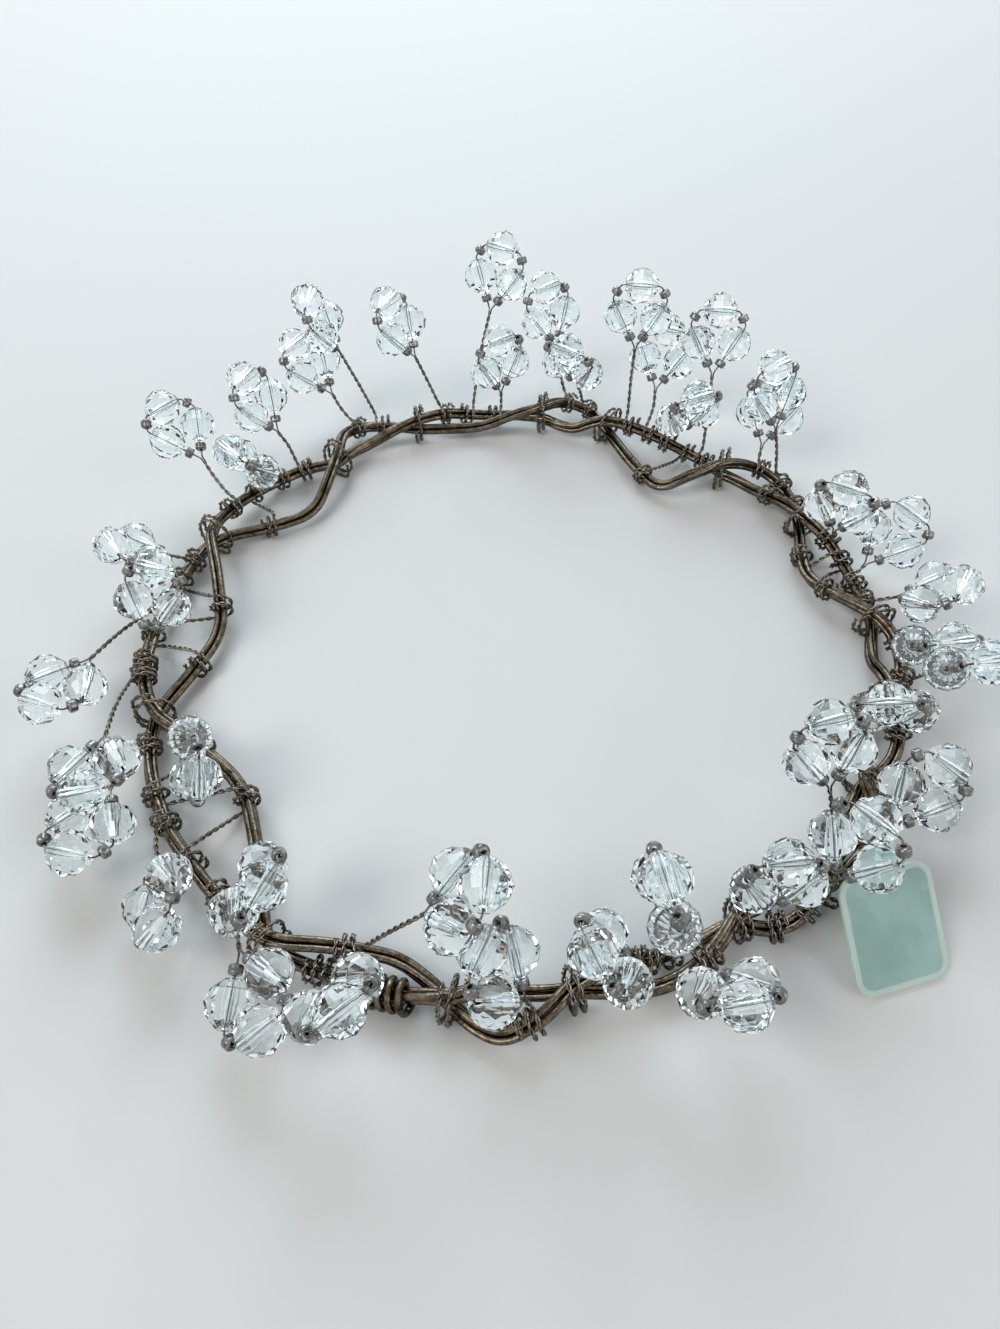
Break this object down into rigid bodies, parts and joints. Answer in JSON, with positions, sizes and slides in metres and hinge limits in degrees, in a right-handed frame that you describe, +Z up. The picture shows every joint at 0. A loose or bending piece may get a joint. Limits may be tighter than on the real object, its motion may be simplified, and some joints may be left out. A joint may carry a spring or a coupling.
{
  "type": "candle ring",
  "caption": "Wire candle ring of two woven bronze bundles with twisted-wire sprays of clear faceted and seed beads and a small bare tag on a wire loop.",
  "frame": {"origin": "centre of the ring's opening on the surface that it lies on", "axes": "+Z up through the opening, +X to the right and +Y to the back as the picture shows the ring"},
  "size_m": [0.1737, 0.1722, 0.041],
  "materials": {
    "brass_wire": "satin",
    "clear_bead": "gloss",
    "seed_bead": "gloss",
    "tag_plastic": "satin"
  },
  "bodies": {
    "ring": {"hoop_wire_1": "brass_wire", "hoop_wire_2": "brass_wire", "hoop_wire_3": "brass_wire", "weave_wire_1": "brass_wire", "weave_wire_2": "brass_wire", "weave_wire_3": "brass_wire", "splice_wrap": "brass_wire", "crossing_ties": "brass_wire", "lacing_back": "brass_wire", "lacing_left": "brass_wire", "lacing_right": "brass_wire", "spray_wire_01": "brass_wire", "spray_crystals_01": "clear_bead", "spray_seeds_01": "seed_bead", "spray_wire_02": "brass_wire", "spray_crystals_02": "clear_bead", "spray_seeds_02": "seed_bead", "spray_wire_03": "brass_wire", "spray_crystals_03": "clear_bead", "spray_seeds_03": "seed_bead", "spray_wire_04": "brass_wire", "spray_crystals_04": "clear_bead", "spray_seeds_04": "seed_bead", "spray_wire_05": "brass_wire", "spray_crystals_05": "clear_bead", "spray_seeds_05": "seed_bead", "spray_wire_06": "brass_wire", "spray_crystals_06": "clear_bead", "spray_seeds_06": "seed_bead", "spray_wire_07": "brass_wire", "spray_crystals_07": "clear_bead", "spray_seeds_07": "seed_bead", "spray_wire_08": "brass_wire", "spray_crystals_08": "clear_bead", "spray_seeds_08": "seed_bead", "spray_wire_09": "brass_wire", "spray_crystals_09": "clear_bead", "spray_seeds_09": "seed_bead", "spray_wire_10": "brass_wire", "spray_crystals_10": "clear_bead", "spray_seeds_10": "seed_bead", "spray_wire_11": "brass_wire", "spray_crystals_11": "clear_bead", "spray_seeds_11": "seed_bead", "spray_wire_12": "brass_wire", "spray_crystals_12": "clear_bead", "spray_seeds_12": "seed_bead", "spray_wire_13": "brass_wire", "spray_crystals_13": "clear_bead", "spray_seeds_13": "seed_bead", "spray_wire_14": "brass_wire", "spray_crystals_14": "clear_bead", "spray_seeds_14": "seed_bead"},
    "tag_loop": {"tag_tie": "brass_wire"},
    "tag": {"hang_tag": "tag_plastic"}
  },
  "joints": [
    {"name": "tie_swing", "type": "hinge", "parent": "ring", "child": "tag_loop", "pos_m": [0.05433, -0.04824, 0.00276], "axis": [0.9627, 0.2706, 0], "range_deg": [0, 45]},
    {"name": "tag_turn", "type": "hinge", "parent": "tag_loop", "child": "tag", "pos_m": [0.05522, -0.05142, 0.01356], "axis": [0.1728, -0.6149, 0.7694], "range_deg": [-3, 20]}
  ]
}
